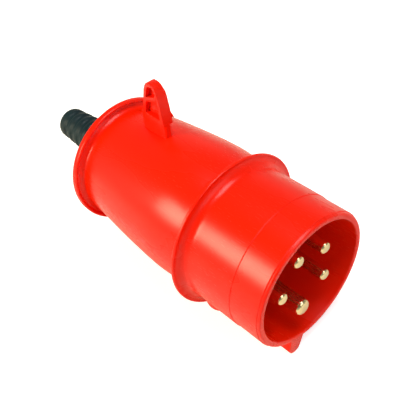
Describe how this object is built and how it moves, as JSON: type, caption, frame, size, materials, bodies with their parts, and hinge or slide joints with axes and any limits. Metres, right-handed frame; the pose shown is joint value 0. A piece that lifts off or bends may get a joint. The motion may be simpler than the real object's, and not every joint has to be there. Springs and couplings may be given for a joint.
{
  "type": "industrial pin and sleeve plug",
  "caption": "Red industrial pin and sleeve plug with brass pins, a keyed sleeve, a barrel handle with a retaining lug and a ribbed cable boot",
  "frame": {"origin": "centre of the flat rim round the open mouth of the sleeve, on the plug's axis", "axes": "+X out of the open mouth along the plug's axis, the way the plug enters a socket; +Z towards the retaining lug; +Y to the plug's left as seen from behind the handle"},
  "size_m": [0.1548, 0.0664, 0.0843],
  "materials": {
    "shell_red": "gloss moulded polyamide",
    "handle_red": "gloss moulded polyamide",
    "carrier_dark": "matte moulded",
    "pin_brass": "polished",
    "screw_steel": "zinc plated",
    "boot_rubber": "matte"
  },
  "bodies": {
    "root": {"front_shell": "shell_red", "contact_carrier": "carrier_dark", "pin_l1": "pin_brass", "pin_l2": "pin_brass", "pin_l3": "pin_brass", "pin_neutral": "pin_brass", "pin_earth": "pin_brass", "terminal_screw_l1": "screw_steel", "terminal_screw_l2": "screw_steel", "terminal_screw_l3": "screw_steel", "terminal_screw_neutral": "screw_steel", "terminal_screw_earth": "screw_steel", "carrier_screw_top": "screw_steel", "carrier_screw_left": "screw_steel", "carrier_screw_right": "screw_steel", "handle": "handle_red", "boot_retainer": "carrier_dark", "retainer_screw_left": "screw_steel", "retainer_screw_right": "screw_steel", "cable_boot": "boot_rubber"}
  },
  "joints": []
}
